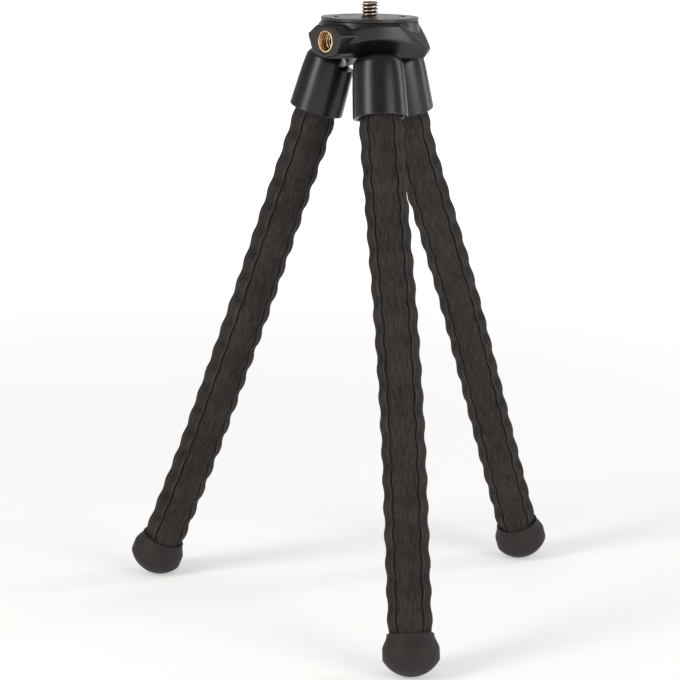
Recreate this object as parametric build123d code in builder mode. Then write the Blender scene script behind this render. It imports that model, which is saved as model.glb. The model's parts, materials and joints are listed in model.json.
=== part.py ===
"""Flexible leg tripod: a lobed hub with a camera stud, three hinged sockets and three bendable legs."""
from build123d import *
from math import asin, cos, degrees, radians, sin, sqrt
import os

os.makedirs("parts", exist_ok=True)

# Lengths are in millimetres and angles in degrees.
# The origin is the middle of the platform face, where the stud comes out, and +Z runs up the stud.
# The front leg points towards -Y.

# Legs: where each points, how far its socket leans out as it stands, and the five bends below it.
# Bends one, three and five are in and out (out is positive), two and four are sideways.
leg_azimuths = {"front": 0, "right": 120, "left": 240}
socket_lean_angles = {"front": 15.8, "right": 12.9, "left": 16.4}
stance_bend_angles = {
    "front": (8.2, 0.2, -5.4, -1.6, 0.6),
    "right": (10.2, 0.5, -2.8, 0.0, 0.6),
    "left": (3.2, -2.6, 1.0, 1.3, 2.5),
}
lean_stop_angle = 16.5
bend_kinds = ("out", "side", "out", "side", "out")

# Clearances
seat_clearance = 0.05
pin_clearance = 0.05
moving_clearance = 0.35

# Camera stud, quarter inch
stud_radius = 3.175
stud_reach = 5.5
stud_tip_chamfer = 0.6
stud_neck_radius = 2.6
stud_flange_radius = 6.0
stud_flange_height = 2.2
stud_stem_radius = 3.4
stud_tapped_radius = 2.0
stud_tapped_depth = 8.0

# Platform disc
platform_radius = 17.9
platform_thickness = 1.2
platform_edge_chamfer = 0.25
grip_groove_radius = 12.5
grip_groove_width = 1.4
grip_groove_depth = 0.35
grip_groove_angle = 36
grip_groove_count = 6

# Hub body
hub_depth = 14.6
drum_depth = 6.4
drum_foot_radius = 18.6
collar_drop = 2.2
collar_side_radius = 18.5
lobe_radius = 23.6
lobe_tip_radius = 1.2
lobe_shoulder_reach = 17.8
lobe_shoulder_drop = 5.1
lobe_slope_angle = 46
lobe_edge_drop = 10.4
lobe_base_inset = 2.5
band_drop = 7.2
underside_slope_angle = 43
lobe_azimuths = (60, 180, 300)

# Side boss with the brass insert
boss_azimuth = 300
boss_reach = 22.1
boss_length = 11.0
boss_root_flare = 3.4
boss_top_half = 4.5
boss_top_drop = 2.4
boss_wide_half = 9.3
boss_wide_drop = 5.8
boss_low_half = 6.6
boss_low_rise = 2.0
boss_bottom_rise = 0.4
boss_slope_angle = 22
boss_shoulder_drop = 4.2
insert_radius = 4.0
insert_length = 9.0
insert_drop = 8.2
insert_thread_radius = 2.6
insert_mouth_chamfer = 0.5

# Hinges under the hub
hinge_radius = 9.2
hinge_below_hub = 2.0
eye_radius = 2.0
pin_radius = 1.2
pin_head_radius = 1.8
pin_head_height = 0.6
lug_width = 4.6
ear_gap = 0.3
ear_thickness = 1.7
fork_plate_thickness = 1.1
fork_plate_depth = 4.4
fork_plate_rise = 1.4
spider_radius = 4.7
spider_thickness = 1.8
spider_web_height = 3.2
spider_web_start = 4.0
spider_hole_radius = 2.1
screw_head_radius = 3.4
screw_head_height = 1.9
screw_shank_length = 6.0

# Sockets
pin_offset = 5.7
socket_below_pin = 21.0
socket_above_pin = 2.0
socket_rim_wall = 1.95
socket_waist_taper = 0.35
socket_shoulder_taper = 0.9
socket_crown_radius = 4.8
socket_bore_depth = 13.0
socket_notch_depth = 3.0
socket_cheek_reach = 5.6

# Leg sleeves
wave_pitch = 9.75
valley_radius = 7.5
flank_radius = 7.85
crest_radius = 8.0
wave_counts = (1, 3, 4, 4, 4, 3)
sleeve_seat_swell = 0.15
joint_gap = 0.3
bend_limit_angle = 40
bend_spare_angle = 5

# Wire cores
core_radius = 2.0
core_anchor_depth = 3.0

# Feet
foot_radius = 10.1
foot_collar_radius = 8.3
foot_flare_height = 4.4
foot_height = 15.3
foot_dome_spare = 1.4
foot_pocket_depth = 8.0
foot_pocket_radius = 7.3
foot_core_depth = 7.0

# Sizes that follow from these
boss_low_drop = hub_depth - boss_low_rise
boss_bottom_drop = hub_depth - boss_bottom_rise
hinge_drop = hub_depth + hinge_below_hub
sleeve_seat_radius = crest_radius + sleeve_seat_swell
socket_rim_radius = sleeve_seat_radius + socket_rim_wall
socket_waist_radius = socket_rim_radius - socket_waist_taper
socket_shoulder_radius = socket_rim_radius - socket_shoulder_taper
foot_dome_radius = foot_radius + foot_dome_spare


def around(radius, azimuth):
    """Point at a radius from the tripod axis: azimuth 0 is towards the front leg, 90 is +X."""
    return (radius * sin(radians(azimuth)), -radius * cos(radians(azimuth)), 0)


def stepped(plane, x=0, y=0, z=0):
    """The same plane moved by a step in its own directions."""
    return Plane(plane.location * Pos(x, y, z))


def turned(plane, x=0, y=0):
    """The same plane turned about its own x or y direction."""
    return Plane(plane.location * Rotation(x, y, 0))


def leg_plane(azimuth):
    """Level plane on the tripod axis: local x runs across the leg, local y back to the axis."""
    across = (cos(radians(azimuth)), sin(radians(azimuth)), 0)
    return Plane(origin=(0, 0, 0), x_dir=across, z_dir=(0, 0, 1))


def pin_plane(azimuth, lean):
    """Plane on the hinge pin, its z along a leg that leans out by so many degrees."""
    pin = stepped(leg_plane(azimuth), y=-hinge_radius, z=-hinge_drop)
    return turned(pin, x=-lean)


def socket_plane(azimuth, lean):
    """Plane on the leg's own axis, level with the pin."""
    return stepped(pin_plane(azimuth, lean), y=-pin_offset)


def bent(plane, kind, angle):
    """The plane turned by one bend: out of the tripod, or sideways."""
    return turned(plane, x=-angle) if kind == "out" else turned(plane, y=-angle)


def joint_planes(leg):
    """One plane at each bend of a leg, turned as the part below the bend stands, and the end plane."""
    plane = socket_plane(leg_azimuths[leg], socket_lean_angles[leg]).offset(-socket_below_pin)
    planes = []
    for waves, kind, angle in zip(wave_counts, bend_kinds, stance_bend_angles[leg]):
        plane = bent(plane.offset(-waves * wave_pitch), kind, angle)
        planes.append(plane)
    return planes, plane.offset(-wave_counts[-1] * wave_pitch)


def across_plane(plane):
    """The plane through the same origin that holds the old y and z directions."""
    return Plane(origin=plane.origin, x_dir=plane.y_dir, z_dir=plane.x_dir)


def upright_plane(plane):
    """The plane through the same origin that holds the old x and z directions."""
    return Plane(origin=plane.origin, x_dir=plane.x_dir, z_dir=-plane.y_dir)


def axis_of(plane):
    """The line through a plane's origin along its normal."""
    return Axis(plane.origin, plane.z_dir)


def finish(builder, name):
    """Label a finished piece and write it."""
    builder.part.label = name
    export_step(builder.part, f"parts/{name}.step")


# Camera stud: threaded end above the platform, flange and stem inside the hub
with BuildPart() as camera_stud:
    with BuildSketch(Plane.XY.offset(-hub_depth)):
        Circle(stud_stem_radius)
    extrude(amount=hub_depth - platform_thickness - stud_flange_height)
    with BuildSketch(Plane.XY.offset(-platform_thickness - stud_flange_height)):
        Circle(stud_flange_radius)
    extrude(amount=stud_flange_height)
    with BuildSketch(Plane.XY.offset(-platform_thickness)):
        Circle(stud_neck_radius)
    extrude(amount=platform_thickness)
    with BuildSketch():
        Circle(stud_radius)
    extrude(amount=stud_reach)
    chamfer(camera_stud.faces().sort_by(Axis.Z)[-1].edges(), length=stud_tip_chamfer)
    with BuildSketch(Plane.XY.offset(-hub_depth)):
        Circle(stud_tapped_radius)
    extrude(amount=stud_tapped_depth, mode=Mode.SUBTRACT)
finish(camera_stud, "camera_stud")

# Platform disc with a broken ring of shallow grip grooves
with BuildPart() as platform_disc:
    with BuildSketch(Plane.XY.offset(-platform_thickness)):
        Circle(platform_radius)
        Circle(stud_radius + seat_clearance, mode=Mode.SUBTRACT)
    extrude(amount=platform_thickness)
    rim_edge = platform_disc.faces().sort_by(Axis.Z)[-1].edges().sort_by(SortBy.LENGTH)[-1]
    chamfer(rim_edge, length=platform_edge_chamfer)
    with BuildSketch():
        with PolarLocations(0, grip_groove_count):
            with BuildLine(mode=Mode.PRIVATE):
                groove = CenterArc((0, 0), grip_groove_radius, -grip_groove_angle / 2, grip_groove_angle)
            SlotArc(groove, grip_groove_width)
    extrude(amount=-grip_groove_depth, mode=Mode.SUBTRACT)
finish(platform_disc, "platform_disc")

# Hub body
lobe_step = 360 / len(lobe_azimuths)
boss_plane = Plane(
    origin=around(boss_reach, boss_azimuth),
    x_dir=leg_plane(boss_azimuth).x_dir,
    z_dir=-leg_plane(boss_azimuth).y_dir,
)
pocket_profile = [
    (0, socket_above_pin + moving_clearance),
    (socket_crown_radius + moving_clearance, socket_above_pin + moving_clearance),
    (socket_shoulder_radius + moving_clearance, moving_clearance),
    (socket_shoulder_radius + moving_clearance, -socket_below_pin),
    (0, -socket_below_pin),
]
with BuildPart() as hub_body:
    with BuildSketch(Plane.XY.offset(-hub_depth)) as collar_plan:
        with BuildLine():
            for lobe in lobe_azimuths:
                ThreePointArc(
                    around(lobe_radius, lobe),
                    around(collar_side_radius, lobe + lobe_step / 2),
                    around(lobe_radius, lobe + lobe_step),
                )
        make_face()
        fillet(collar_plan.vertices(), radius=lobe_tip_radius)
    extrude(amount=hub_depth - collar_drop)
    with BuildSketch(Plane.XZ):
        with BuildLine():
            Polyline(
                (0, -collar_drop),
                (lobe_radius, -collar_drop),
                (lobe_radius, -lobe_edge_drop),
                (lobe_radius - lobe_base_inset, -hub_depth),
                (0, -hub_depth),
                close=True,
            )
        make_face()
    revolve(axis=Axis.Z, mode=Mode.INTERSECT)
    for lobe in lobe_azimuths:
        slope_angle = boss_slope_angle if lobe == boss_azimuth else lobe_slope_angle
        shoulder_drop = boss_shoulder_drop if lobe == boss_azimuth else lobe_shoulder_drop
        shoulder = stepped(leg_plane(lobe), y=-lobe_shoulder_reach, z=-shoulder_drop)
        with BuildSketch(turned(shoulder, x=slope_angle)):
            Rectangle(2 * lobe_radius, 2 * lobe_radius)
        extrude(amount=lobe_radius, mode=Mode.SUBTRACT)
    for azimuth in leg_azimuths.values():
        band_edge = stepped(leg_plane(azimuth), y=-collar_side_radius, z=-band_drop)
        with BuildSketch(turned(band_edge, x=-underside_slope_angle)):
            Rectangle(2 * lobe_radius, 2 * lobe_radius)
        extrude(amount=-lobe_radius, mode=Mode.SUBTRACT)
    with BuildSketch(Plane.XZ):
        with BuildLine():
            Polyline(
                (0, -platform_thickness),
                (platform_radius, -platform_thickness),
                (drum_foot_radius, -drum_depth),
                (0, -drum_depth),
                close=True,
            )
        make_face()
    revolve(axis=Axis.Z)
    for depth, flare in ((0, 0), (boss_length, boss_root_flare)):
        with BuildSketch(boss_plane.offset(-depth)):
            with BuildLine():
                Polyline(
                    (-boss_top_half - flare, -boss_top_drop),
                    (boss_top_half + flare, -boss_top_drop),
                    (boss_wide_half + flare, -boss_wide_drop),
                    (boss_low_half, -boss_low_drop),
                    (0, -boss_bottom_drop),
                    (-boss_low_half, -boss_low_drop),
                    (-boss_wide_half - flare, -boss_wide_drop),
                    close=True,
                )
            make_face()
    loft(ruled=True)
    with BuildSketch(boss_plane):
        Rectangle(2 * lobe_radius, 2 * lobe_radius)
    extrude(amount=lobe_radius, mode=Mode.SUBTRACT)
    for azimuth in leg_azimuths.values():
        for lean in (0, lean_stop_angle):
            pocket_plane = socket_plane(azimuth, lean)
            with BuildSketch(upright_plane(pocket_plane)):
                with BuildLine():
                    Polyline(*pocket_profile, close=True)
                make_face()
            revolve(axis=axis_of(pocket_plane), mode=Mode.SUBTRACT)
    with BuildSketch(Plane.XY.offset(-hub_depth)):
        Circle(stud_stem_radius + seat_clearance)
    extrude(amount=hub_depth, mode=Mode.SUBTRACT)
    with BuildSketch(Plane.XY.offset(-platform_thickness - stud_flange_height)):
        Circle(stud_flange_radius + seat_clearance)
    extrude(amount=stud_flange_height, mode=Mode.SUBTRACT)
    with BuildSketch(stepped(boss_plane, y=-insert_drop)):
        Circle(insert_radius + seat_clearance)
    extrude(amount=-insert_length, mode=Mode.SUBTRACT)
finish(hub_body, "hub_body")

# Brass insert in the side boss
with BuildPart() as side_insert:
    with BuildSketch(stepped(boss_plane, y=-insert_drop)):
        Circle(insert_radius)
        Circle(insert_thread_radius, mode=Mode.SUBTRACT)
    extrude(amount=-insert_length)
    mouth_face = side_insert.faces().filter_by(GeomType.PLANE).sort_by_distance(boss_plane.origin)[0]
    chamfer(mouth_face.edges().sort_by(SortBy.LENGTH)[0], length=insert_mouth_chamfer)
finish(side_insert, "side_insert")

# Hinge spider: a steel plate under the hub with one eye for each leg
with BuildPart() as hinge_spider:
    with BuildSketch(Plane.XY.offset(-hub_depth)):
        Circle(spider_radius)
    extrude(amount=-spider_thickness)
    for azimuth in leg_azimuths.values():
        pin = pin_plane(azimuth, 0)
        with BuildSketch(across_plane(pin)):
            Circle(eye_radius)
            with Locations((0, hinge_drop - hub_depth)):
                Rectangle(
                    hinge_radius - spider_web_start,
                    spider_web_height,
                    align=(Align.MIN, Align.MAX),
                )
        extrude(amount=lug_width / 2, both=True)
        with BuildSketch(across_plane(pin)):
            Circle(pin_radius + pin_clearance)
        extrude(amount=lug_width, both=True, mode=Mode.SUBTRACT)
    with BuildSketch(Plane.XY.offset(-hub_depth)):
        Circle(spider_hole_radius)
    extrude(amount=-spider_thickness, mode=Mode.SUBTRACT)
finish(hinge_spider, "hinge_spider")

# Screw that holds the spider and draws the stud down
spider_foot = hub_depth + spider_thickness
with BuildPart() as spider_screw:
    with BuildSketch(Plane.XY.offset(-spider_foot)):
        Circle(stud_tapped_radius - seat_clearance)
    extrude(amount=spider_thickness + screw_shank_length)
    with BuildSketch(Plane.XY.offset(-spider_foot)):
        Circle(screw_head_radius)
    extrude(amount=-screw_head_height)
finish(spider_screw, "spider_screw")

# Sockets, forks and pins
ear_inner = lug_width / 2 + ear_gap
ear_outer = ear_inner + ear_thickness
notch_offset = pin_offset - eye_radius - moving_clearance
notch_half = ear_outer + pin_head_height + moving_clearance
bore_top = -socket_below_pin + socket_bore_depth
for leg, azimuth in leg_azimuths.items():
    leg_axis = socket_plane(azimuth, socket_lean_angles[leg])
    pin = pin_plane(azimuth, socket_lean_angles[leg])

    with BuildPart() as socket:
        with BuildSketch(upright_plane(leg_axis)):
            with BuildLine():
                side = ThreePointArc(
                    (socket_rim_radius, -socket_below_pin),
                    (socket_waist_radius, -socket_below_pin / 2),
                    (socket_shoulder_radius, 0),
                )
                Polyline(
                    side @ 1,
                    (socket_crown_radius, socket_above_pin),
                    (0, socket_above_pin),
                    (0, -socket_below_pin),
                    side @ 0,
                )
            make_face()
        revolve(axis=axis_of(leg_axis))
        with BuildSketch(leg_axis.offset(-socket_below_pin)):
            Circle(sleeve_seat_radius + seat_clearance)
        extrude(amount=socket_bore_depth, mode=Mode.SUBTRACT)
        with BuildSketch(leg_axis.offset(bore_top)):
            Circle(core_radius + seat_clearance)
        extrude(amount=core_anchor_depth, mode=Mode.SUBTRACT)
        with BuildSketch(across_plane(leg_axis)):
            with Locations((notch_offset, fork_plate_rise)):
                Rectangle(
                    fork_plate_thickness,
                    fork_plate_rise + fork_plate_depth,
                    align=(Align.MAX, Align.MAX),
                )
        extrude(amount=ear_outer, both=True, mode=Mode.SUBTRACT)
        for notch_start, half_width in ((notch_offset, notch_half), (socket_cheek_reach, socket_rim_radius)):
            with BuildSketch(across_plane(leg_axis)):
                with Locations((notch_start, -socket_notch_depth)):
                    Rectangle(socket_rim_radius, socket_rim_radius, align=(Align.MIN, Align.MIN))
            extrude(amount=half_width, both=True, mode=Mode.SUBTRACT)
    finish(socket, f"{leg}_socket")

    with BuildPart() as fork:
        with BuildSketch(across_plane(leg_axis)):
            with Locations((notch_offset, fork_plate_rise)):
                Rectangle(
                    fork_plate_thickness,
                    fork_plate_rise + fork_plate_depth,
                    align=(Align.MAX, Align.MAX),
                )
        extrude(amount=ear_outer, both=True)
        for side_sign in (1, -1):
            with BuildSketch(across_plane(leg_axis).offset(side_sign * ear_inner)):
                with Locations((pin_offset, 0)):
                    Circle(eye_radius)
                with Locations((notch_offset, 0)):
                    Rectangle(
                        pin_offset - notch_offset,
                        2 * fork_plate_rise,
                        align=(Align.MIN, Align.CENTER),
                    )
            extrude(amount=side_sign * ear_thickness)
        with BuildSketch(across_plane(pin)):
            Circle(pin_radius + seat_clearance)
        extrude(amount=ear_outer, both=True, mode=Mode.SUBTRACT)
    finish(fork, f"{leg}_hinge_fork")

    with BuildPart() as hinge_pin:
        with BuildSketch(across_plane(pin)):
            Circle(pin_radius)
        extrude(amount=ear_outer, both=True)
        for side_sign in (1, -1):
            with BuildSketch(across_plane(pin).offset(side_sign * ear_outer)):
                Circle(pin_head_radius)
            extrude(amount=side_sign * pin_head_height)
    finish(hinge_pin, f"{leg}_hinge_pin")


def wave_radius(quarter):
    """Sleeve radius at a quarter wave, counted from a valley."""
    return (valley_radius, flank_radius, crest_radius, flank_radius)[quarter % 4]


def sleeve_rings(start, waves):
    """Depth and radius of each ring of a sleeve, from a start depth below a bend to the next bend."""
    depths = [quarter * wave_pitch / 4 for quarter in range(4 * waves + 1)]
    radii = [wave_radius(quarter) for quarter in range(4 * waves + 1)]
    first = next(k for k, depth in enumerate(depths) if depth > start)
    share = (start - depths[first - 1]) / (depths[first] - depths[first - 1])
    start_radius = radii[first - 1] + share * (radii[first] - radii[first - 1])
    return [(start, start_radius)] + list(zip(depths[first:], radii[first:]))


# Sleeves, wire cores and feet
top_aligned = (Align.CENTER, Align.CENTER, Align.MAX)
cup_radius = valley_radius + joint_gap
cup_start = cup_radius * sin(radians(bend_limit_angle + bend_spare_angle))
core_bottom = sqrt(valley_radius**2 - core_radius**2)
foot_dome_centre = foot_height - foot_dome_radius
foot_dome_edge = foot_dome_centre + sqrt(foot_dome_radius**2 - foot_radius**2)
half_dome_turn = degrees(asin(foot_radius / foot_dome_radius)) / 2
for leg, azimuth in leg_azimuths.items():
    leg_axis = socket_plane(azimuth, socket_lean_angles[leg])
    bends, leg_end = joint_planes(leg)
    rim = leg_axis.offset(-socket_below_pin)
    stub_length = wave_counts[0] * wave_pitch

    with BuildPart() as stub_sleeve:
        for depth, radius in sleeve_rings(0, wave_counts[0]):
            with BuildSketch(rim.offset(-depth)):
                Circle(radius)
        loft(ruled=True)
        with BuildSketch(rim):
            Circle(sleeve_seat_radius)
        extrude(amount=socket_bore_depth)
        with Locations(rim.offset(-stub_length)):
            Sphere(valley_radius, arc_size2=0, align=top_aligned)
        with BuildSketch(leg_axis.offset(bore_top)):
            Circle(core_radius)
        extrude(amount=-socket_bore_depth - stub_length - valley_radius, mode=Mode.SUBTRACT)
    finish(stub_sleeve, f"{leg}_sleeve_0")

    with BuildPart() as stub_core:
        with BuildSketch(leg_axis.offset(bore_top + core_anchor_depth)):
            Circle(core_radius)
        extrude(amount=-core_anchor_depth - socket_bore_depth - stub_length - core_bottom)
    finish(stub_core, f"{leg}_core_0")

    for k, plane in enumerate(bends, start=1):
        waves = wave_counts[k]
        length = waves * wave_pitch
        last = k == len(bends)
        with BuildPart() as sleeve:
            for depth, radius in sleeve_rings(cup_start, waves):
                with BuildSketch(plane.offset(-depth)):
                    Circle(radius)
            loft(ruled=True)
            if last:
                with BuildSketch(leg_end):
                    Circle(foot_pocket_radius)
                extrude(amount=-foot_pocket_depth)
            else:
                with Locations(plane.offset(-length)):
                    Sphere(valley_radius, arc_size2=0, align=top_aligned)
            with Locations(plane):
                Sphere(cup_radius, mode=Mode.SUBTRACT)
            with BuildSketch(plane):
                Circle(core_radius)
            extrude(amount=-length - foot_pocket_depth, mode=Mode.SUBTRACT)
        finish(sleeve, f"{leg}_sleeve_{k}")

        core_end = length + (foot_core_depth if last else core_bottom)
        with BuildPart() as core:
            with BuildSketch(plane.offset(-cup_radius)):
                Circle(core_radius)
            extrude(amount=cup_radius - core_end)
        finish(core, f"{leg}_core_{k}")

    with BuildPart() as foot:
        with BuildSketch(upright_plane(leg_end)):
            with BuildLine():
                dome = ThreePointArc(
                    (foot_radius, -foot_dome_edge),
                    (
                        foot_dome_radius * sin(radians(half_dome_turn)),
                        -foot_dome_centre - foot_dome_radius * cos(radians(half_dome_turn)),
                    ),
                    (0, -foot_height),
                )
                Polyline(
                    dome @ 1,
                    (0, -foot_pocket_depth),
                    (foot_pocket_radius, -foot_pocket_depth),
                    (foot_pocket_radius, 0),
                    (foot_collar_radius, 0),
                    (foot_radius, -foot_flare_height),
                    dome @ 0,
                )
            make_face()
        revolve(axis=axis_of(leg_end))
    finish(foot, f"{leg}_foot")
    dome_middle = leg_end.from_local_coords((0, 0, -foot_dome_centre))
    print(leg, "foot stands at", round(dome_middle.Z - foot_dome_radius, 3))
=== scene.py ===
"""Flexible leg tripod: the pieces, finishes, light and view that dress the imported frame."""
import json
from math import cos, degrees, pi, radians, sin, tau

import bmesh
import bpy
from mathutils import Matrix, Vector
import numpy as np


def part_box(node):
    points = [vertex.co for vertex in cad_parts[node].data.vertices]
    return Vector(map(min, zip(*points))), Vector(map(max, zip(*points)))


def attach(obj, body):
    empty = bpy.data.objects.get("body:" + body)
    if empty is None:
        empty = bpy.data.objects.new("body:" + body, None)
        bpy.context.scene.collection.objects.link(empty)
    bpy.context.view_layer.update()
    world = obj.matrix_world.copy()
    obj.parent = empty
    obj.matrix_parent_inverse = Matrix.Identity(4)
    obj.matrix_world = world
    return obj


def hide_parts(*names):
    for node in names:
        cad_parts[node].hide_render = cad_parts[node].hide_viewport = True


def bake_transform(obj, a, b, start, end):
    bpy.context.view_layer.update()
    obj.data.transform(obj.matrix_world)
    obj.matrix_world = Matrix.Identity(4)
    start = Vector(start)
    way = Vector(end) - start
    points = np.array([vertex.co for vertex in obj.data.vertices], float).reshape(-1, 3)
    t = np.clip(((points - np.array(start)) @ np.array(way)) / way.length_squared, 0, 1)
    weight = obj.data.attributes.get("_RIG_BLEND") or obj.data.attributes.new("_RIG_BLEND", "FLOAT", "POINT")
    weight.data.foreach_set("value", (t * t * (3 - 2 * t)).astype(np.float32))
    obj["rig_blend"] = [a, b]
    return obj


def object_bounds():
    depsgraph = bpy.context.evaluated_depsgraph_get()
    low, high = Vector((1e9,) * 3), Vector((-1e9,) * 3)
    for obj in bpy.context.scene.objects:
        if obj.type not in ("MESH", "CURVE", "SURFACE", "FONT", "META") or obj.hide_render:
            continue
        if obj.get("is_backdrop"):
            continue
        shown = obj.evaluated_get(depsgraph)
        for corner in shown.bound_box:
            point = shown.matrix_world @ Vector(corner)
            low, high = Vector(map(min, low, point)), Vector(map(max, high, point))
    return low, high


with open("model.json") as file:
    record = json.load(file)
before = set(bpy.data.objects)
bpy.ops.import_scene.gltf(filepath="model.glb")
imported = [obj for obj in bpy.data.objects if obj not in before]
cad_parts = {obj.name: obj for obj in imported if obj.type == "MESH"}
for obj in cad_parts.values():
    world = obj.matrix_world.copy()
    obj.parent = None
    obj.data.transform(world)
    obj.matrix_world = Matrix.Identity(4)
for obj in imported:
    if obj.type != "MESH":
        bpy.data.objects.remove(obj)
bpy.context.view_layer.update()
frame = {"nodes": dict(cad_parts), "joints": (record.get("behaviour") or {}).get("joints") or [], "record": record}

bpy.ops.object.select_all(action="DESELECT")

# Sizes are in metres. They repeat the part's own sizes, which this script can't read.
mm = 0.001
hair = 0.001 * mm
legs = {"front": 0, "right": 120, "left": 240}
joints = {joint["name"]: joint for joint in frame["joints"]}

# Camera stud and side insert, quarter inch at 20 threads to the inch
thread_pitch = 1.27 * mm
thread_crest = 3.175 * mm
thread_root = 2.45 * mm
thread_play = 0.05 * mm
thread_sides = 64
thread_spare_turns = 3
metal_rounding = 0.15 * mm
metal_sides = 96
stud_reach = 5.5 * mm
stud_chamfer = 0.6 * mm
stud_flange_radius = 6.0 * mm
stud_flange_top = 0.3 * mm
stud_flange_bottom = 2.2 * mm
stud_stem_radius = 3.4 * mm
stud_tapped_radius = 2.0 * mm
stud_tapped_depth = 8.0 * mm
tip_spare = 3 * mm
tip_rise = 0.3 * mm
insert_radius = 4.0 * mm
insert_length = 9.0 * mm
insert_drop = 8.2 * mm
insert_sunk = 0.35 * mm
insert_thread_start = 2.1 * mm
insert_root_spare = 0.1 * mm
mouth_radius = 4.2 * mm
mouth_step_radius = 3.45 * mm
mouth_step_drop = 0.2 * mm
mouth_bottom_radius = 3.15 * mm
mouth_depth = 2.5 * mm
boss_reach = 22.1 * mm
boss_azimuth = 300

# Platform disc
platform_radius = 17.9 * mm
platform_thickness = 1.2 * mm
platform_rounding = 0.13 * mm
platform_sides = 180
groove_radius = 12.5 * mm
groove_width = 1.4 * mm
groove_depth = 0.35 * mm
groove_inset = 0.12 * mm
groove_arc = 36
groove_count = 6

# Hub, hinges and sockets
hub_depth = 14.6 * mm
hub_skin_grain = 0.3 * mm
hub_skin_steps = 14
hinge_radius = 9.2 * mm
hinge_drop = 16.6 * mm
pin_offset = 5.7 * mm
moulding_sides = 128
socket_below_pin = 21.0 * mm
socket_bore_depth = 13.0 * mm
socket_top = 2.0 * mm
socket_top_radius = 4.4 * mm
crown_centre = (5.55 * mm, -1.98 * mm)
crown_radius = 3.6 * mm
socket_flank = ((9.48 * mm, -5 * mm), (9.75 * mm, -10.5 * mm), (9.98 * mm, -17 * mm))
socket_rim_radius = 10.1 * mm
socket_rim_bevel = 0.45 * mm
sleeve_seat = 8.2 * mm
core_hole_radius = 2.05 * mm
core_hole_depth = 3 * mm

# Opposite corners of the boxes cut out of a socket: the notch for the hinge's ears and pin heads, the cut
# that takes the cheeks back over the full width, and the slot of the fork's plate
socket_notches = (
    ((-5.25 * mm, 3.35 * mm, -3 * mm), (5.25 * mm, 12 * mm, 4 * mm)),
    ((-12 * mm, 5.6 * mm, -3.001 * mm), (12 * mm, 12.5 * mm, 4.5 * mm)),
    ((-4.35 * mm, 2.2 * mm, -4.45 * mm), (4.35 * mm, 4 * mm, 1.45 * mm)),
)

# Leg sleeves: a wave is one pitch long from valley to valley
wave_pitch = 9.75 * mm
valley_radius = 7.5 * mm
crest_radius = 8.0 * mm
waves_above_rim = 1
wave_cuts = (0, 2, 6, 10, 14, 19)
bend_waves = (1, 4, 8, 12, 16)
wave_sides = 120
wave_rows = 16

# Panels, grooves, leaves and dents of a sleeve, with angles in degrees about it: _picked and _from say
# what is picked, _share how far that is drawn in or out, _reach how far the pull fades and _shade how
# far the painted shade of grooves and dents, or the painted highlight of leaves, fades
panel_count = 3
panel_half = 36
panel_swing = 1.4
panel_edge_picked = 0.1
groove_half_width = 0.34 * mm
groove_share = 0.945
groove_picked = 0.3
groove_shade = 2.6
leaf_angle = 43
leaf_share = 1.022
leaf_reach = 1.5 * mm
leaf_picked = 2
leaf_shade = 5
leaf_swell = 0.6
dent_angle = 55
dent_from = 54
dent_share = 0.96
dent_reach = 2.9 * mm
dent_shade = 9
# How dark the painted shade in the dents gets
dent_darkness = 0.6

# The last length's plain tail inside the foot
tail_step = 0.2 * mm
tail_play = 0.1 * mm
tail_length = 6 * mm

# Feet
foot_radius = 10.1 * mm
foot_collar_radius = 8.3 * mm
foot_collar_height = 1.6 * mm
foot_softening = 0.25 * mm
foot_flare_rounding = 0.9 * mm
foot_rounding = 0.3 * mm
foot_pocket_radius = 7.3 * mm
foot_pocket_depth = 8.0 * mm
foot_flare_height = 4.4 * mm
foot_height = 15.3 * mm
foot_dome_radius = 11.5 * mm


# Modelling by hand


def deselect():
    """Leaves nothing selected, the CAD nodes included."""
    bpy.ops.object.select_all(action="DESELECT")


def activate(piece):
    """Makes one piece the only selected and active object."""
    deselect()
    piece.select_set(True)
    bpy.context.view_layer.objects.active = piece


def edit(piece=None):
    """Opens the active piece, or the given one, in edit mode."""
    if piece:
        activate(piece)
    bpy.ops.object.mode_set(mode="EDIT")
    bpy.ops.mesh.select_mode(type="VERT")


def done(name=None):
    """Leaves edit mode with the piece's place in its mesh, and names it."""
    bpy.ops.object.mode_set(mode="OBJECT")
    bpy.ops.object.transform_apply(location=True, rotation=True, scale=True)
    piece = bpy.context.object
    if name:
        piece.name = piece.data.name = name
    return piece


def pick(kind, test):
    """Selects in the open mesh only the vertices, edges or faces that pass a test."""
    bpy.ops.mesh.select_mode(type={"verts": "VERT", "edges": "EDGE", "faces": "FACE"}[kind])
    bpy.ops.mesh.select_all(action="DESELECT")
    mesh = bmesh.from_edit_mesh(bpy.context.object.data)
    for part in getattr(mesh, kind):
        part.select_set(bool(test(part)))
    mesh.select_flush_mode()
    bmesh.update_edit_mesh(bpy.context.object.data)


def modify(piece, kind, **settings):
    """Adds a modifier with its settings and applies it."""
    activate(piece)
    bpy.ops.object.modifier_add(type=kind)
    modifier = piece.modifiers[-1]
    for setting, value in settings.items():
        setattr(modifier, setting, value)
    bpy.ops.object.modifier_apply(modifier=modifier.name)


def smooth(piece, angle=35):
    """Shades a piece smoothly except over edges sharper than an angle."""
    activate(piece)
    bpy.ops.object.shade_smooth_by_angle(angle=radians(angle))
    return piece


def own_copy(piece, name):
    """A copy of a piece with a mesh of its own."""
    twin = piece.copy()
    twin.data = piece.data.copy()
    twin.name = twin.data.name = name
    bpy.context.scene.collection.objects.link(twin)
    return twin


def place(piece, matrix):
    """Moves a piece by a matrix and writes its place into its mesh."""
    activate(piece)
    piece.matrix_world = matrix @ piece.matrix_world
    bpy.ops.object.transform_apply(location=True, rotation=True, scale=True)
    return piece


def discard(piece):
    """Deletes a cutter or a pattern that has served."""
    bpy.data.objects.remove(piece)


def cut(piece, cutter):
    """Takes a cutter's shape out of a piece."""
    modify(piece, "BOOLEAN", operation="DIFFERENCE", solver="EXACT", object=cutter)
    discard(cutter)


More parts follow.
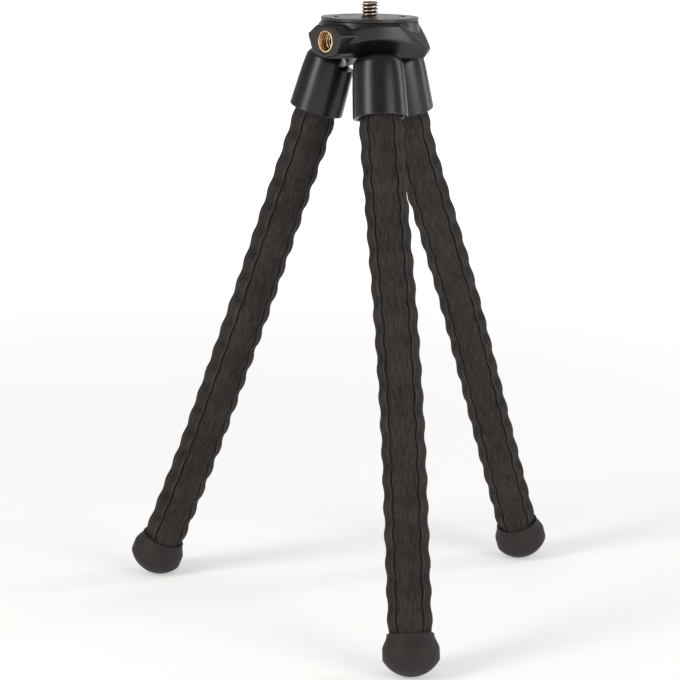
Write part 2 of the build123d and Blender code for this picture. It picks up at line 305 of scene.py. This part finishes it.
def drawn_outline(corners):
    """A chain of edges drawn by extruding one vertex from corner to corner of a (radius, height) list."""
    points = [Vector((radius, 0, height)) for radius, height in corners]
    deselect()
    bpy.ops.mesh.primitive_plane_add(size=mm, location=points[0])
    edit()
    bpy.ops.mesh.merge(type="CENTER")
    for here, there in zip(points, points[1:]):
        bpy.ops.mesh.extrude_vertices_move(TRANSFORM_OT_translate={"value": there - here})
    bpy.ops.mesh.select_all(action="SELECT")


def lathe(name, corners, sides, rounding=0):
    """Turns a (radius, height) outline about Z into a closed solid, and rounds its sharp rings."""
    drawn_outline(corners)
    bpy.ops.mesh.spin(steps=sides, angle=tau, center=(0, 0, 0), axis=(0, 0, 1))
    bpy.ops.mesh.select_all(action="SELECT")
    bpy.ops.mesh.remove_doubles(threshold=hair)
    bpy.ops.mesh.normals_make_consistent(inside=False)
    piece = done(name)
    if rounding:
        modify(piece, "BEVEL", width=rounding, segments=3, limit_method="ANGLE", angle_limit=radians(25))
    return smooth(piece)


def arc(centre, radius, start, end, steps):
    """Corners along an arc of an outline, angles counted from the outward direction up."""
    turns = [radians(start + (end - start) * step / steps) for step in range(steps + 1)]
    return [(centre[0] + radius * cos(turn), centre[1] + radius * sin(turn)) for turn in turns]


def thread(crest, root, bottom, top):
    """A solid with a thread around it, wound from one pitch of its outline and cut off square."""
    turns = round((top - bottom) / thread_pitch) + thread_spare_turns
    low = bottom - thread_spare_turns / 2 * thread_pitch
    # The radius at shares of one pitch: root, flank, crest, flank and root
    outline = ((root, 0), (root, 0.1), (crest, 0.46), (crest, 0.6), (root, 0.96), (root, 1))
    drawn_outline([(radius, low + share * thread_pitch) for radius, share in outline])
    rod = done("thread")
    modify(
        rod,
        "SCREW",
        screw_offset=thread_pitch,
        iterations=turns,
        steps=thread_sides,
        render_steps=thread_sides,
    )
    edit(rod)
    bpy.ops.mesh.select_all(action="SELECT")
    bpy.ops.mesh.remove_doubles(threshold=hair)
    for height, upward in ((bottom, -1), (top, 1)):
        bpy.ops.mesh.select_all(action="SELECT")
        bpy.ops.mesh.bisect(
            plane_co=(0, 0, height),
            plane_no=(0, 0, upward),
            use_fill=True,
            clear_outer=True,
            threshold=hair,
        )
    bpy.ops.mesh.select_all(action="SELECT")
    bpy.ops.mesh.normals_make_consistent(inside=False)
    return done()


def around(azimuth):
    """Turn about the tripod axis from the front leg's side to an azimuth."""
    return Matrix.Rotation(radians(azimuth), 4, "Z")


# Where the legs stand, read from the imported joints


def leg_line(leg):
    """The socket's frame, and the bends' points and directions down a leg as it stands."""
    hinge = joints[f"{leg}_hinge"]
    lean = Matrix.Rotation(radians(hinge["range_deg"][0]), 4, "X")
    socket = around(legs[leg]) @ Matrix.Translation((0, -hinge_radius, -hinge_drop)) @ lean
    socket = socket @ Matrix.Translation((0, -pin_offset, 0))
    rim = socket @ Vector((0, 0, -socket_below_pin))
    direction = -(socket.to_3x3() @ Vector((0, 0, 1)))
    bends = [joint for name, joint in joints.items() if name.startswith(f"{leg}_bend")]
    points = [rim] + [Vector(bend["pos_m"]) for bend in bends]
    directions = [direction]
    for bend in bends:
        straight = sum(bend["range_deg"]) / 2
        direction = Matrix.Rotation(radians(-straight), 3, Vector(bend["axis"])) @ direction
        directions.append(direction)
    return socket, points, directions


def wave_place(leg, wave):
    """The point on a leg's middle line so many waves below the rim, along its straight lengths."""
    points, directions = lines[leg][1:]
    section = sum(wave > bend for bend in bend_waves)
    start = bend_waves[section - 1] if section else 0
    return points[section] + directions[section] * (wave - start) * wave_pitch


lines = {leg: leg_line(leg) for leg in legs}
boss_face = (
    around(boss_azimuth)
    @ Matrix.Translation((0, -boss_reach, -insert_drop))
    @ Matrix.Rotation(radians(90), 4, "X")
)
insert_inward = boss_face.to_3x3() @ Vector((0, 0, -1))
insert_mouth = boss_face.to_translation() + insert_inward * insert_thread_start


# Camera, where the fit to the photo's outline puts it

camera_stand = (-0.1835, -0.8403, 0.05587)
camera_heading = -11.67
camera_dip = 11.645
camera_roll = 0.578

bpy.ops.object.camera_add()
camera = bpy.context.object
camera.name = "camera"
camera.data.lens = 123.1
camera.data.sensor_width = 36
camera.matrix_world = (
    Matrix.Translation(camera_stand)
    @ Matrix.Rotation(radians(camera_heading), 4, "Z")
    @ Matrix.Rotation(radians(90 - camera_dip), 4, "X")
    @ Matrix.Rotation(radians(camera_roll), 4, "Z")
)
bpy.context.scene.camera = camera


# Finishes


class Wire:
    """A value on its way through a material, which takes part in Python sums."""

    def __init__(self, finish, socket):
        self.finish = finish
        self.socket = socket

    def maths(self, operation, first, second):
        return self.finish.node("ShaderNodeMath", {"operation": operation}, {0: first, 1: second})

    def __add__(self, other):
        return self.maths("ADD", self, other)

    def __radd__(self, other):
        return self.maths("ADD", other, self)

    def __mul__(self, other):
        return self.maths("MULTIPLY", self, other)

    def __rmul__(self, other):
        return self.maths("MULTIPLY", other, self)


class Finish:
    """One material and the nodes that make it."""

    def __init__(self, name, roughness=0.5, metallic=0.0, specular=0.5):
        self.material = bpy.data.materials.new(name)
        self.material.use_nodes = True
        self.tree = self.material.node_tree
        self.shader = self.tree.nodes["Principled BSDF"]
        self.shader.inputs["Roughness"].default_value = roughness
        self.shader.inputs["Metallic"].default_value = metallic
        self.shader.inputs["Specular IOR Level"].default_value = specular

    def fill(self, socket, value):
        """Puts a value on a socket, or links a wire to it."""
        if isinstance(value, Wire):
            self.tree.links.new(value.socket, socket)
        else:
            socket.default_value = value

    def node(self, kind, settings, values, output=0):
        """Adds a node with its settings first and then its sockets, and gives one output as a wire."""
        made = self.tree.nodes.new(kind)
        for setting, value in settings.items():
            setattr(made, setting, value)
        for socket, value in values.items():
            self.fill(made.inputs[socket], value)
        return Wire(self, made.outputs[output])

    def set(self, **values):
        """Links or sets sockets of the shader."""
        for name, value in values.items():
            self.fill(self.shader.inputs[name.replace("_", " ").title()], value)

    def place(self, scale=(1, 1, 1), attribute=None):
        """Where a point is, in millimetres: its Object coordinates, or its place along an unbent sleeve."""
        if attribute:
            source = self.node("ShaderNodeAttribute", {"attribute_name": attribute}, {}, "Vector")
        else:
            source = self.node("ShaderNodeTexCoord", {}, {}, "Object")
        sizes = [size / mm for size in scale]
        return self.node("ShaderNodeVectorMath", {"operation": "MULTIPLY"}, {0: source, 1: sizes})

    def vector(self, operation, first, second=(0, 0, 0), output=0):
        """One step of vector maths; output 1 is a number."""
        return self.node("ShaderNodeVectorMath", {"operation": operation}, {0: first, 1: second}, output)

    def noise(self, where, scale, detail=3.0, roughness=0.5):
        """Noise from 0 to 1, its scale in features to the millimetre."""
        return self.node(
            "ShaderNodeTexNoise",
            {},
            {"Vector": where, "Scale": scale, "Detail": detail, "Roughness": roughness},
        )

    def spread(self, value, low, high, to_low=0.0, to_high=1.0):
        """Maps a range of a value smoothly on another."""
        return self.node(
            "ShaderNodeMapRange",
            {"interpolation_type": "SMOOTHSTEP"},
            {"Value": value, "From Min": low, "From Max": high, "To Min": to_low, "To Max": to_high},
        )

    def blend(self, share, first, second):
        """Mixes two colours by a share."""
        return self.node("ShaderNodeMix", {"data_type": "RGBA"}, {0: share, 6: first, 7: second}, 2)

    def bump(self, height, depth, strength=1.0, over=None):
        """Surface relief, its height from 0 to 1 over a depth in millimetres."""
        values = {"Height": height, "Distance": depth * mm, "Strength": strength}
        if over:
            values["Normal"] = over
        return self.node("ShaderNodeBump", {}, values)


def colour(red, green, blue):
    """A colour socket value from linear parts."""
    return (red, green, blue, 1.0)


def moulded_plastic(name, shade, lighter, roughness, grain):
    """Satin moulded plastic: a fine eroded grain, faint cloudiness and slightly uneven gloss."""
    finish = Finish(name, specular=0.42)
    where = finish.place()
    cloud = finish.noise(where, 0.12, detail=4)
    pits = finish.noise(where, 5.5, detail=2, roughness=0.6)
    smears = finish.noise(finish.place((0.5, 0.5, 0.12)), 0.5, detail=5, roughness=0.65)
    finish.set(
        base_color=finish.blend(finish.spread(cloud, 0.35, 0.7), shade, lighter),
        roughness=roughness + 0.1 * smears + 0.05 * pits,
        normal=finish.bump(pits, grain),
    )
    return finish.material


def sleeve_rubber():
    """Matt soft rubber with a vertical drawn grain, a painted highlight on the leaves beside the grooves and
    painted shade in the grooves and dents.
    """
    finish = Finish("sleeve_rubber", specular=0.08)
    straight = finish.place(attribute="straight")
    grain_place = finish.place((1, 1, 0.14), attribute="straight")
    grain = finish.noise(grain_place, 1.5, detail=5, roughness=0.62)
    fibre = finish.noise(grain_place, 4.5, detail=3)
    skin = finish.noise(straight, 7.0, detail=2)
    cloud = finish.noise(straight, 0.09, detail=4, roughness=0.6)
    # Painted shade for the grooves and for the dents at the valleys, and a painted highlight for the leaves
    depth = finish.node("ShaderNodeAttribute", {"attribute_name": "groove"}, {}, "Fac")
    leaf = finish.node("ShaderNodeAttribute", {"attribute_name": "leaf"}, {}, "Fac")
    base = finish.blend(
        finish.spread(0.55 * grain + 0.2 * fibre + 0.25 * cloud, 0.38, 0.62),
        colour(0.0185, 0.0162, 0.0153),
        colour(0.042, 0.0366, 0.0345),
    )
    # A painted highlight lightens the leaves beside the grooves
    base = finish.blend(0.65 * leaf, base, colour(0.068, 0.06, 0.057))
    # The grooves and dents are darkened towards near black as painted shade
    finish.set(
        base_color=finish.blend(depth, base, colour(0.0075, 0.0068, 0.0064)),
        roughness=0.62 + 0.16 * grain,
        normal=finish.bump(skin, 0.03, over=finish.bump(0.7 * grain + 0.3 * fibre, 0.22, 0.8)),
    )
    return finish.material


def foot_rubber():
    """Smoother, denser rubber with scattered paler scuffs."""
    finish = Finish("foot_rubber", specular=0.16)
    where = finish.place()
    cloud = finish.noise(where, 0.14, detail=5, roughness=0.6)
    skin = finish.noise(where, 4.0, detail=3)
    scuffs = finish.spread(finish.noise(finish.place((1, 1, 0.5)), 0.9, detail=6, roughness=0.7), 0.56, 0.72)
    base = finish.blend(cloud, colour(0.022, 0.0195, 0.019), colour(0.034, 0.030, 0.029))
    finish.set(
        base_color=finish.blend(0.35 * scuffs, base, colour(0.06, 0.055, 0.052)),
        roughness=0.52 + 0.22 * scuffs + 0.08 * skin,
        normal=finish.bump(skin, 0.02, over=finish.bump(cloud, 0.25, 0.5)),
    )
    return finish.material


def metal(name, shade, darker, roughness, brushing, direction, thread=None):
    """Machined metal with tool marks along one direction, dull patches and painted shade in a thread's roots."""
    finish = Finish(name, metallic=1.0)
    drawn = finish.place([0.08 if axis == direction else 1 for axis in range(3)])
    marks = finish.noise(drawn, 6.0, detail=4, roughness=0.6)
    dull = finish.noise(finish.place(), 0.8, detail=4, roughness=0.6)
    worked = finish.blend(finish.spread(dull, 0.4, 0.75), shade, darker)
    if thread:
        start, inward, bright, dark = thread
        from_start = finish.vector("SUBTRACT", finish.place(), start)
        radius = finish.vector("LENGTH", finish.vector("CROSS_PRODUCT", from_start, inward), output=1)
        depth = finish.vector("DOT_PRODUCT", from_start, inward, output=1)
        # Painted shade darkens the thread's roots
        painted_root_shade = finish.spread(radius, bright, dark) * finish.spread(depth, 0, 0.3)
        worked = finish.blend(painted_root_shade, worked, colour(0.03, 0.021, 0.016))
    finish.set(
        base_color=worked,
        roughness=roughness + 0.14 * dull + 0.08 * marks,
        normal=finish.bump(marks, brushing),
    )
    return finish.material


# For a thread: where its painted shade starts and which way it runs, and in millimetres the radii
# where it is bright and where its painted shade is darkest
stud_shade = ((0, 0, 7), (0, 0, -1), 2.98, 2.55)
insert_shade = (insert_mouth / mm, insert_inward, 2.55, 2.95)

finishes = {
    "hub_plastic": moulded_plastic(
        "hub_plastic", colour(0.0062, 0.0056, 0.0052), colour(0.0105, 0.0096, 0.0088), 0.24, 0.012
    ),
    "platform_plastic": moulded_plastic(
        "platform_plastic", colour(0.0075, 0.0069, 0.0065), colour(0.0115, 0.0105, 0.0098), 0.3, 0.02
    ),
    "socket_plastic": moulded_plastic(
        "socket_plastic", colour(0.0034, 0.0032, 0.0034), colour(0.0056, 0.0052, 0.0052), 0.23, 0.008
    ),
    "sleeve_rubber": sleeve_rubber(),
    "foot_rubber": foot_rubber(),
    "stud_steel": metal(
        "stud_steel", colour(0.86, 0.76, 0.67), colour(0.62, 0.5, 0.43), 0.2, 0.01, 2, thread=stud_shade
    ),
    "insert_brass": metal(
        "insert_brass", colour(0.9, 0.68, 0.43), colour(0.68, 0.46, 0.25), 0.22, 0.01, 2, thread=insert_shade
    ),
    "hinge_steel": metal("hinge_steel", colour(0.3, 0.3, 0.305), colour(0.14, 0.14, 0.145), 0.36, 0.03, 0),
    "core_wire": metal("core_wire", colour(0.72, 0.72, 0.74), colour(0.5, 0.5, 0.52), 0.34, 0.02, 2),
}


def finish_as(piece, slot_name):
    """Gives a piece the finish of a material slot."""
    piece.data.materials.clear()
    piece.data.materials.append(finishes[slot_name])


def fit_out(piece, slot_name, body, *nodes):
    """Gives a rigid piece its finish, its body and the CAD nodes that it stands for."""
    finish_as(piece, slot_name)
    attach(piece, body)
    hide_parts(*nodes)


for part in frame["record"]["subparts"]:
    finish_as(frame["nodes"][part["node"]], part["material_slot"])


# Hub body, with the softened edges of a moulding


def soft_moulding(node, name, grain):
    """A copy of a CAD node skinned afresh with small square faces, so that its edges soften."""
    piece = bpy.data.objects.new(name, frame["nodes"][node].data.copy())
    piece.data.name = name
    bpy.context.scene.collection.objects.link(piece)
    edit(piece)
    bpy.ops.mesh.select_all(action="SELECT")
    bpy.ops.mesh.remove_doubles(threshold=hair)
    done(name)
    modify(piece, "REMESH", mode="VOXEL", voxel_size=grain, adaptivity=0)
    modify(piece, "SMOOTH", factor=0.5, iterations=hub_skin_steps)
    return smooth(piece, 60)


hub = soft_moulding("hub_body", "hub", hub_skin_grain)
fit_out(hub, "hub_plastic", "hub", "hub_body")


# Platform with a rounded rim and a broken ring of shallow recesses

groove_in = groove_radius - groove_width / 2
groove_out = groove_radius + groove_width / 2
platform = lathe(
    "platform",
    [
        (thread_crest + thread_play, -platform_thickness),
        (thread_crest + thread_play, 0),
        (groove_in, 0),
        (groove_out, 0),
        (platform_radius, 0),
        (platform_radius, -platform_thickness),
        (thread_crest + thread_play, -platform_thickness),
    ],
    platform_sides,
)


def in_groove(face):
    """Whether a face of the platform lies on one of the recesses."""
    middle = face.calc_center_median()
    step = 360 / groove_count
    off = (degrees(Vector((1, 0)).angle_signed(middle.xy)) + groove_arc / 2) % step
    return middle.z > -hair and groove_in < middle.xy.length < groove_out and off < groove_arc


edit(platform)
pick("faces", in_groove)
bpy.ops.mesh.inset(thickness=groove_inset)
bpy.ops.mesh.extrude_region_move(TRANSFORM_OT_translate={"value": (0, 0, -groove_depth)})
done()
modify(platform, "BEVEL", width=platform_rounding, segments=2, limit_method="ANGLE", angle_limit=radians(40))
smooth(platform)
fit_out(platform, "platform_plastic", "hub", "platform_disc")


# Camera stud with its thread, and the flange and stem inside the hub

stud_thread = thread(thread_crest, thread_root, -2 * platform_thickness, stud_reach)
tip = lathe(
    "stud_tip",
    [
        (0, stud_reach + stud_chamfer),
        (thread_crest + tip_spare, stud_reach + stud_chamfer),
        (thread_crest + tip_spare, stud_reach - stud_chamfer - tip_spare),
        (thread_crest, stud_reach - stud_chamfer),
        (thread_crest - stud_chamfer - tip_rise, stud_reach + tip_rise),
        (0, stud_reach + tip_rise),
        (0, stud_reach + stud_chamfer),
    ],
    thread_sides,
)
cut(stud_thread, tip)
stud = lathe(
    "stud",
    [
        (0, -platform_thickness - stud_flange_top),
        (stud_flange_radius, -platform_thickness - stud_flange_top),
        (stud_flange_radius, -platform_thickness - stud_flange_bottom),
        (stud_stem_radius, -platform_thickness - stud_flange_bottom),
        (stud_stem_radius, -hub_depth),
        (stud_tapped_radius, -hub_depth),
        (stud_tapped_radius, -hub_depth + stud_tapped_depth),
        (0, -hub_depth + stud_tapped_depth),
    ],
    metal_sides,
    rounding=metal_rounding,
)
activate(stud)
stud_thread.select_set(True)
bpy.ops.object.join()
smooth(stud)
fit_out(stud, "stud_steel", "hub", "camera_stud")


# Brass insert with its inner thread

insert = lathe(
    "insert",
    [
        (0, -insert_sunk),
        (insert_radius, -insert_sunk),
        (insert_radius, -insert_length),
        (0, -insert_length),
    ],
    metal_sides,
    rounding=metal_rounding,
)
mouth = lathe(
    "mouth",
    [
        (0, mm),
        (mouth_radius, mm),
        (mouth_step_radius, -insert_sunk - mouth_step_drop),
        (mouth_bottom_radius, -mouth_depth),
        (0, -mouth_depth),
    ],
    metal_sides,
)
cut(insert, mouth)
cut(insert, thread(thread_crest - thread_play, thread_root + insert_root_spare, -insert_length - mm, mm))
place(insert, boss_face)
smooth(insert)
fit_out(insert, "insert_brass", "hub", "side_insert")


# Sockets: one is turned on its pin's level and copied to each leg

bore_top = -socket_below_pin + socket_bore_depth
socket_pattern = lathe(
    "socket_pattern",
    [
        (0, socket_top),
        (socket_top_radius, socket_top),
        *arc(crown_centre, crown_radius, 84, 4, 10),
        *socket_flank,
        (socket_rim_radius, -socket_below_pin),
        (sleeve_seat, -socket_below_pin),
        (sleeve_seat, bore_top),
        (core_hole_radius, bore_top),
        (core_hole_radius, bore_top + core_hole_depth),
        (0, bore_top + core_hole_depth),
    ],
    moulding_sides,
)
edit(socket_pattern)
pick(
    "edges",
    lambda edge: all(abs(v.co.z + socket_below_pin) < hair for v in edge.verts)
    and edge.calc_face_angle(0) > 1,
)
bpy.ops.mesh.bevel(offset=socket_rim_bevel, segments=3)
done()
for notch in socket_notches:
    low, high = (Vector(corner) for corner in notch)
    bpy.ops.mesh.primitive_cube_add(size=1, location=(low + high) / 2, scale=high - low)
    cut(socket_pattern, done("socket_notch"))
smooth(socket_pattern, 30)
for leg in legs:
    socket = place(own_copy(socket_pattern, f"{leg}_socket_shell"), lines[leg][0])
    fit_out(socket, "socket_plastic", f"{leg}_socket_end", f"{leg}_socket")
discard(socket_pattern)


# Feet: one is turned standing on its end and copied to each leg

dome_edge = -foot_height + foot_dome_radius - (foot_dome_radius**2 - foot_radius**2) ** 0.5
foot_pattern = lathe(
    "foot_pattern",
    [
        (0, -foot_pocket_depth),
        (foot_pocket_radius, -foot_pocket_depth),
        (foot_pocket_radius, 0),
        (foot_collar_radius, 0),
        (foot_collar_radius + foot_softening, -foot_collar_height),
        (foot_radius - foot_softening, -foot_flare_height),
        (foot_radius, -foot_flare_height - foot_flare_rounding),
        (foot_radius, dome_edge),
        *arc((0, foot_dome_radius - foot_height), foot_dome_radius, -30, -90, 12)[1:],
    ],
    moulding_sides,
    rounding=foot_rounding,
)
for leg in legs:
    directions = lines[leg][2]
    end = wave_place(leg, wave_cuts[-1])
    turn = Vector((0, 0, -1)).rotation_difference(directions[-1]).to_matrix().to_4x4()
    foot = place(own_copy(foot_pattern, f"{leg}_foot_cap"), Matrix.Translation(end) @ turn)
    fit_out(foot, "foot_rubber", f"{leg}_section_5", f"{leg}_foot")
discard(foot_pattern)


# Sleeves: one wave is modelled, repeated down a length and laid along the leg's line

soft_reach = {"use_proportional_edit": True, "proportional_edit_falloff": "SMOOTH"}


def panel_side(point):
    """Angle in degrees from the middle of the nearest panel to a point, below 0 on one side of it."""
    step = 360 / panel_count
    return (degrees(Vector((1, 0)).angle_signed(point.xy)) + step / 2) % step - step / 2


def off_panel(point):
    """Angle in degrees between a point on the sleeve and the middle of its nearest panel."""
    return abs(panel_side(point))


def swell(height):
    """How far a height lies up a wave's bulge: 0 at its valleys and 1 at its crest."""
    return sin(pi * height / wave_pitch) ** 2


def scale_picked(share, **soft):
    """Draws the picked vertices in towards the sleeve's middle, or out."""
    bpy.ops.transform.resize(value=(share, share, 1), center_override=(0, 0, 0), **soft)


def from_groove(point):
    """Angle in degrees between a point on the sleeve and the middle of the nearest groove."""
    return abs(off_panel(point) - panel_half - panel_swing * swell(point.z))


bpy.ops.mesh.primitive_cylinder_add(
    vertices=wave_sides,
    radius=valley_radius,
    depth=wave_pitch,
    end_fill_type="NOTHING",
    location=(0, 0, wave_pitch / 2),
)
wave_pattern = done("sleeve_wave")
edit()
pick("edges", lambda edge: abs(edge.verts[0].co.z - edge.verts[1].co.z) > hair)
bpy.ops.mesh.subdivide(number_cuts=wave_rows - 1)
for row in range(1, wave_rows):
    height = row * wave_pitch / wave_rows
    pick("verts", lambda vertex: abs(vertex.co.z - height) < hair)
    scale_picked(1 + (crest_radius / valley_radius - 1) * swell(height))
pick(
    "verts",
    lambda vertex: off_panel(vertex.co) > dent_from
    and min(vertex.co.z, wave_pitch - vertex.co.z) < hair,
)
scale_picked(dent_share, **soft_reach, proportional_size=dent_reach)
pick(
    "verts",
    lambda vertex: abs(off_panel(vertex.co) - leaf_angle) < leaf_picked
    and swell(vertex.co.z) > leaf_swell,
)
scale_picked(leaf_share, **soft_reach, proportional_size=leaf_reach)
for row in range(1, wave_rows):
    height = row * wave_pitch / wave_rows
    for side in (1, -1):
        pick(
            "verts",
            lambda vertex: abs(vertex.co.z - height) < hair
            and abs(panel_side(vertex.co) - side * panel_half) < panel_edge_picked,
        )
        bpy.ops.transform.rotate(
            value=side * radians(panel_swing) * swell(height),
            orient_axis="Z",
            center_override=(0, 0, 0),
        )
pick(
    "edges",
    lambda edge: all(from_groove(vertex.co) < groove_picked for vertex in edge.verts)
    and abs(edge.verts[0].co.z - edge.verts[1].co.z) > hair,
)
bpy.ops.mesh.bevel(offset=groove_half_width, segments=2)
pick("verts", lambda vertex: from_groove(vertex.co) < groove_picked)
scale_picked(groove_share)
done()


def leg_curve(leg):
    """A smooth line down a leg, from inside its socket to inside its foot."""
    bpy.ops.curve.primitive_bezier_curve_add()
    line = bpy.context.object
    line.name = f"{leg}_line"
    line.data.resolution_u = 64
    line.data.twist_mode = "MINIMUM"
    spline = line.data.splines[0]
    stops = (-waves_above_rim,) + wave_cuts[1:-1] + (wave_cuts[-1] + 1,)
    spline.bezier_points.add(len(stops) + 1 - len(spline.bezier_points))
    places = [wave_place(leg, stops[0]), wave_place(leg, 0)] + [wave_place(leg, stop) for stop in stops[1:]]
    corners = [(places[0] + places[1]) / 2] + lines[leg][1][1:]
    for index, knot in enumerate(spline.bezier_points):
        knot.handle_left_type = knot.handle_right_type = "FREE"
        knot.co = places[index]
        knot.handle_left = knot.handle_right = knot.co
        if index:
            knot.handle_left = knot.co.lerp(corners[index - 1], 2 / 3)
        if index < len(corners):
            knot.handle_right = knot.co.lerp(corners[index], 2 / 3)
    return line


def sleeve_length(name, first, last, turn, line):
    """A length of sleeve from one wave to another, closed at both ends and laid along a leg's line."""
    piece = own_copy(wave_pattern, name)
    modify(
        piece,
        "ARRAY",
        count=last - first,
        use_relative_offset=False,
        use_constant_offset=True,
        constant_offset_displace=(0, 0, wave_pitch),
        use_merge_vertices=True,
        merge_threshold=hair,
    )
    edit(piece)
    if last == wave_cuts[-1]:
        end = (last - first) * wave_pitch
        pick("verts", lambda vertex: vertex.co.z > end - hair)
        bpy.ops.mesh.extrude_region_move(TRANSFORM_OT_translate={"value": (0, 0, tail_step)})
        scale_picked((foot_pocket_radius - tail_play) / valley_radius)
        bpy.ops.mesh.extrude_region_move(TRANSFORM_OT_translate={"value": (0, 0, tail_length)})
    bpy.ops.mesh.select_all(action="SELECT")
    bpy.ops.mesh.fill_holes(sides=0)
    done()
    place(piece, Matrix.Translation((0, 0, (first + waves_above_rim) * wave_pitch)) @ around(turn))
    mark_sleeve(piece, turn)
    modify(piece, "CURVE", object=line, deform_axis="POS_Z")
    return smooth(piece, 40)


def mark_sleeve(piece, turn):
    """Stores where each vertex lies on the straight sleeve, how much painted shade it gets in a groove or dent and
    how much painted highlight up a leaf.
    """
    kept = piece.data.attributes
    for name, kind in (("straight", "FLOAT_VECTOR"), ("groove", "FLOAT"), ("leaf", "FLOAT")):
        kept.new(name, kind, "POINT")
    straight, groove, leaf = (kept[name].data for name in ("straight", "groove", "leaf"))
    unturned = around(-turn)
    for vertex in piece.data.vertices:
        straight[vertex.index].vector = vertex.co
        point = unturned @ vertex.co
        # Painted shade: dark in the grooves and in the dents at the valleys; painted highlight: light up each leaf
        in_dent = (1 - swell(point.z)) ** 2 * max(0, 1 - abs(off_panel(point) - dent_angle) / dent_shade)
        groove[vertex.index].value = max(0, 1 - from_groove(point) / groove_shade, dent_darkness * in_dent)
        up_leaf = swell(point.z) * max(0, 1 - abs(off_panel(point) - leaf_angle) / leaf_shade)
        leaf[vertex.index].value = up_leaf


# How far the panels of each sleeve are turned about its leg, and the share of a wave at each end
# of a length that stays out of its blend
sleeve_turns = {"front": -17.4, "right": -18.2, "left": -29.5}
span = 0.1
for leg in legs:
    line = leg_curve(leg)
    bodies = [f"{leg}_socket_end"] + [f"{leg}_section_{section}" for section in range(1, 6)]
    for section in range(1, 6):
        first = -waves_above_rim if section == 1 else wave_cuts[section - 1]
        last = wave_cuts[section]
        name = f"{leg}_sleeve_length_{section}"
        sleeve = sleeve_length(name, first, last, sleeve_turns[leg], line)
        finish_as(sleeve, "sleeve_rubber")
        nodes = [f"{leg}_sleeve_{section}"] + ([f"{leg}_sleeve_0"] if section == 1 else [])
        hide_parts(*nodes)
        start = wave_place(leg, wave_cuts[section - 1] + span)
        end_wave = min(wave_cuts[section], 2 * bend_waves[section - 1] - wave_cuts[section - 1])
        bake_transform(sleeve, bodies[section - 1], bodies[section], start, wave_place(leg, end_wave - span))
    discard(line)
discard(wave_pattern)


# Floor, studio light and view

ground = min(corner.z for corner in (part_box(f"{leg}_foot")[0] for leg in legs))
bpy.ops.mesh.primitive_plane_add(size=60, location=(0, 0, ground))
floor = done("floor")
floor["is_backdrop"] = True


# The paper glows faintly, more with its distance in millimetres, so that it is white at its far end
paper = Finish("floor_paper", roughness=0.9, specular=0.0)
away = paper.vector("LENGTH", paper.place(), output=1)
near_glow = colour(0.36, 0.36, 0.36)
far_glow = colour(0.85, 0.85, 0.85)
paper.set(
    base_color=colour(0.9, 0.9, 0.9),
    emission_color=paper.blend(paper.spread(away, 250, 1500), near_glow, far_glow),
    emission_strength=1,
)
floor.data.materials.append(paper.material)

world = bpy.data.worlds.new("studio")
bpy.context.scene.world = world
world.use_nodes = True


def softbox(name, place_at, aim, width, height, power, tint=(1, 1, 1)):
    """A flat studio light at a place, turned to a point."""
    bpy.ops.object.light_add(type="AREA", location=place_at)
    lamp = bpy.context.object
    lamp.name = name
    lamp.data.shape = "RECTANGLE"
    lamp.data.size = width
    lamp.data.size_y = height
    lamp.data.energy = power
    lamp.data.color = tint
    lamp.rotation_euler = (Vector(aim) - Vector(place_at)).to_track_quat("-Z", "Y").to_euler()


softbox("key_light", (-1.2, -0.5, 0.42), (0, 0, -0.05), 0.45, 1.1, 11, (1, 0.93, 0.87))
softbox("front_light", (0.77, -1.1, 0.2), (0, 0, -0.03), 0.75, 0.85, 8.5, (1, 0.95, 0.91))
softbox("edge_light", (1.2, 0.23, 0.3), (0, 0, -0.05), 0.2, 1.0, 3, (1, 0.97, 0.94))
softbox("back_light", (0.31, 1.45, 0.16), (0, 0, 0), 0.7, 0.3, 1.1)

backdrop = world.node_tree.nodes["Background"]
backdrop.inputs["Color"].default_value = colour(1, 1, 1)
backdrop.inputs["Strength"].default_value = 0.34

bpy.context.scene.view_settings.view_transform = "Standard"

low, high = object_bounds()
